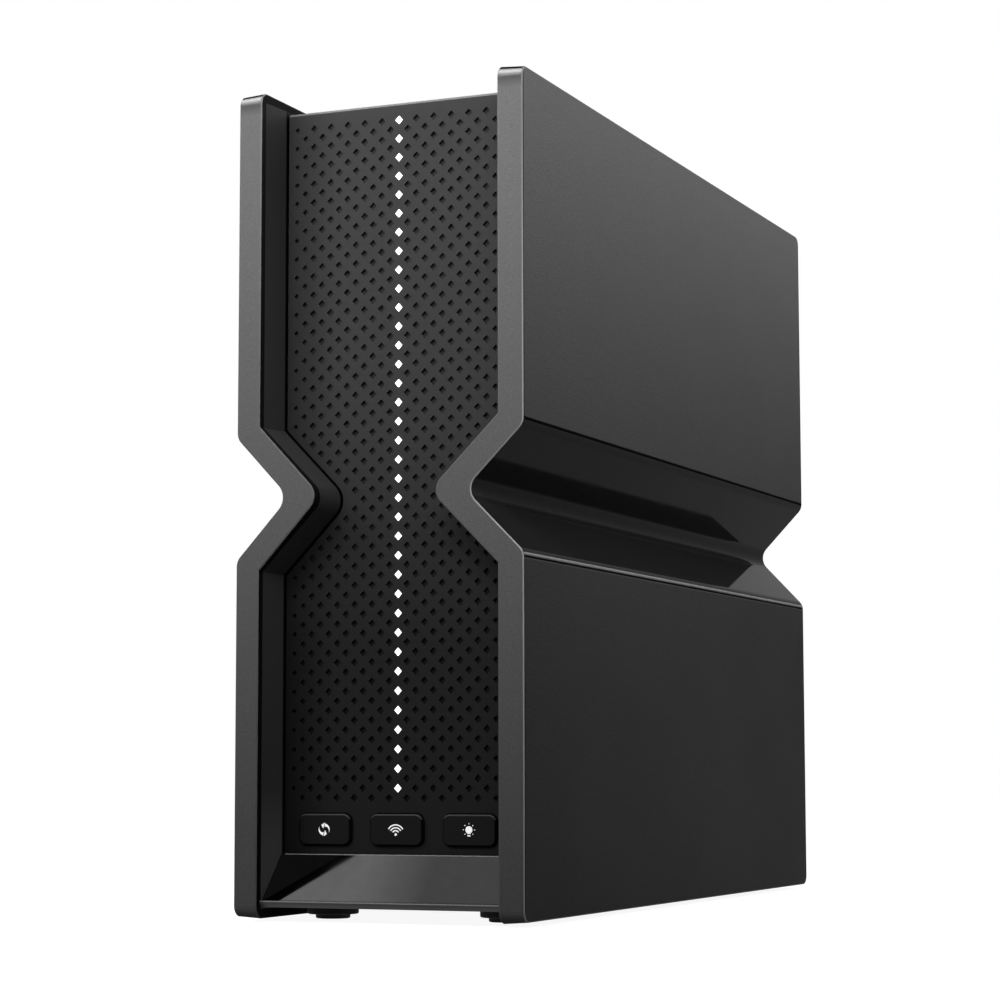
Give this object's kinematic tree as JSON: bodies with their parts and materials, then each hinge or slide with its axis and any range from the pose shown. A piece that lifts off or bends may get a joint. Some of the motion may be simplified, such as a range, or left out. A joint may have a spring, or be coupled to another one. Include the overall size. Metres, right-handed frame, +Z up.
{
  "type": "cable modem router",
  "caption": "Upright cable modem and wireless router with hourglass side shells, a dimpled fascia with a column of lights, front push buttons and rear ports.",
  "frame": {"origin": "middle of the footprint, on the surface that the feet stand on", "axes": "+X to the right seen from the front, -Y out of the front, +Z up"},
  "size_m": [0.098, 0.296, 0.2625],
  "materials": {
    "shell_satin": "fine grained satin, charcoal grey",
    "groove_gloss": "gloss black",
    "liner_plastic": "fine matt, near black",
    "fascia_plastic": "fine grained matt, dark grey",
    "sill_gloss": "gloss black",
    "base_plastic": "fine matt, near black",
    "button_plastic": "smooth satin, near black",
    "light_lens": "clear, lit white",
    "foot_rubber": "matt black rubber",
    "board_laminate": "green solder mask",
    "shield_metal": "tinned steel",
    "sink_aluminium": "as extruded",
    "pad_silicone": "soft grey thermal pad",
    "connector_nickel": "nickel plated",
    "connector_plastic": "moulded black",
    "insulator_white": "moulded white",
    "frame_plastic": "moulded dark grey",
    "screw_steel": "black zinc plated"
  },
  "bodies": {
    "housing": {"right_side_shell": "shell_satin", "left_side_shell": "shell_satin", "right_groove_trim": "groove_gloss", "left_groove_trim": "groove_gloss", "right_inner_liner": "liner_plastic", "left_inner_liner": "liner_plastic", "front_fascia": "fascia_plastic", "light_guide": "light_lens", "light_board": "board_laminate", "light_emitters": "insulator_white", "sill_plate": "sill_gloss", "base_tray": "base_plastic", "rubber_feet": "foot_rubber", "base_screws": "screw_steel", "top_vent_cover": "base_plastic", "rear_panel": "base_plastic", "rear_screws": "screw_steel", "board_frame": "frame_plastic", "main_board": "board_laminate", "shield_cans": "shield_metal", "thermal_pads": "pad_silicone", "right_heat_sink": "sink_aluminium", "left_heat_sink": "sink_aluminium", "antenna_boards": "board_laminate", "ethernet_jacks": "shield_metal", "tuner_can": "shield_metal", "coax_connector": "connector_nickel", "coax_insulator": "insulator_white", "power_inlet": "connector_plastic", "usb_port": "shield_metal", "power_switch": "connector_plastic", "reset_switch": "connector_plastic", "button_board": "board_laminate", "front_switches": "connector_plastic"},
    "pairing_key": {"pairing_button": "button_plastic"},
    "wireless_key": {"wireless_button": "button_plastic"},
    "light_key": {"light_button": "button_plastic"},
    "power_key": {"power_button": "button_plastic"},
    "reset_key": {"reset_pin": "button_plastic"}
  },
  "joints": [
    {"name": "pairing_press", "type": "slide", "parent": "housing", "child": "pairing_key", "axis": [0, 1, 0], "range_m": [0, 0.0006], "stiffness_N_per_m": 1500},
    {"name": "wireless_press", "type": "slide", "parent": "housing", "child": "wireless_key", "axis": [0, 1, 0], "range_m": [0, 0.0006], "stiffness_N_per_m": 1500},
    {"name": "light_press", "type": "slide", "parent": "housing", "child": "light_key", "axis": [0, 1, 0], "range_m": [0, 0.0006], "stiffness_N_per_m": 1500},
    {"name": "power_press", "type": "slide", "parent": "housing", "child": "power_key", "axis": [0, -1, 0], "range_m": [0, 0.0015], "stiffness_N_per_m": 1000},
    {"name": "reset_press", "type": "slide", "parent": "housing", "child": "reset_key", "axis": [0, -1, 0], "range_m": [0, 0.0005], "stiffness_N_per_m": 1500}
  ]
}
